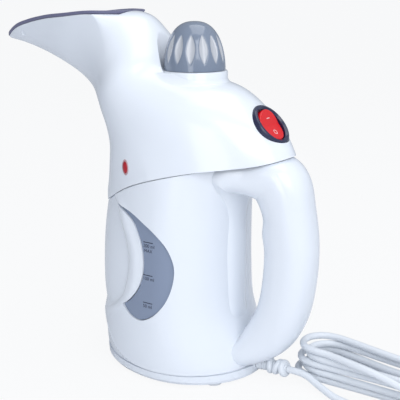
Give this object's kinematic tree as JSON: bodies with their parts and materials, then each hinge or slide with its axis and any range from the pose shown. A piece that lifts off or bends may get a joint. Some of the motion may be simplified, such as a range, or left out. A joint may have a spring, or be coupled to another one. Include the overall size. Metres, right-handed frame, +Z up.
{
  "type": "handheld garment steamer",
  "caption": "Kettle-shaped handheld garment steamer with a beak-shaped steam head, screw-down filler cap, rocker switch, loop handle and a mains cord in a hank.",
  "frame": {"origin": "centre of the bottom of the steamer's box, cord left out, at the height of its feet", "axes": "+X towards the handle, nose towards -X; +Z up; the indicator lamp is on the -Y side"},
  "size_m": [0.4541, 0.11, 0.252],
  "materials": {
    "white_shell": "satin gloss white",
    "grey_blue": "translucent grey-blue",
    "steam_plate": "matt light grey",
    "window": "translucent grey-blue",
    "navy": "dark navy gloss",
    "red_rocker": "red translucent gloss",
    "red_lens": "clear red",
    "lamp_glass": "clear",
    "steel": "bright",
    "boiler": "die cast",
    "tank": "translucent",
    "inner_plastic": "natural",
    "black_plastic": "matt",
    "silicone": "matt",
    "seal": "matt",
    "foot_rubber": "matt",
    "ceramic_fuse": "glazed",
    "cord": "satin white PVC",
    "brass_pin": "nickel plated"
  },
  "bodies": {
    "steamer": {"body_shell": "white_shell", "head_shell": "white_shell", "handle_loop": "white_shell", "base_cover": "white_shell", "filler_neck": "white_shell", "mouth_frame": "grey_blue", "steam_plate": "steam_plate", "steam_tray": "inner_plastic", "window_near": "window", "window_far": "window", "switch_bezel": "navy", "rocker_pin": "steel", "switch_body": "black_plastic", "indicator_lens": "red_lens", "indicator_lamp": "lamp_glass", "water_tank": "tank", "tank_lid": "inner_plastic", "neck_gasket": "silicone", "boiler_block": "boiler", "boiler_gasket": "silicone", "heating_element": "steel", "thermostat": "ceramic_fuse", "thermal_fuse": "ceramic_fuse", "steam_duct": "inner_plastic", "strain_relief": "cord", "power_cord": "cord", "cord_hank": "cord", "hank_tie": "seal", "plug_body": "cord", "plug_pin_1": "brass_pin", "plug_pin_2": "brass_pin", "base_screw_1": "steel", "foot_1": "foot_rubber", "base_screw_2": "steel", "foot_2": "foot_rubber", "base_screw_3": "steel", "foot_3": "foot_rubber", "base_screw_4": "steel", "foot_4": "foot_rubber"},
    "cap_seal_ring": {"cap_seal": "seal"},
    "cap": {"fill_cap": "grey_blue", "cap_plug": "inner_plastic"},
    "rocker": {"power_rocker": "red_rocker"}
  },
  "joints": [
    {"name": "cap_lift", "type": "slide", "parent": "steamer", "child": "cap_seal_ring", "axis": [0, 0, 1], "range_m": [0, 0.0152]},
    {"name": "cap_turn", "type": "hinge", "parent": "cap_seal_ring", "child": "cap", "pos_m": [0.039, 0, 0.213], "axis": [0, 0, 1], "range_deg": [0, 1080]},
    {"name": "rocker_tilt", "type": "hinge", "parent": "steamer", "child": "rocker", "pos_m": [0.09761, 0, 0.17836], "axis": [0, 1, 0], "range_deg": [-14, 0]}
  ],
  "couplings": [
    {"joint": "cap_lift", "follows": "cap_turn", "m_per_rad": 0.00079577}
  ]
}
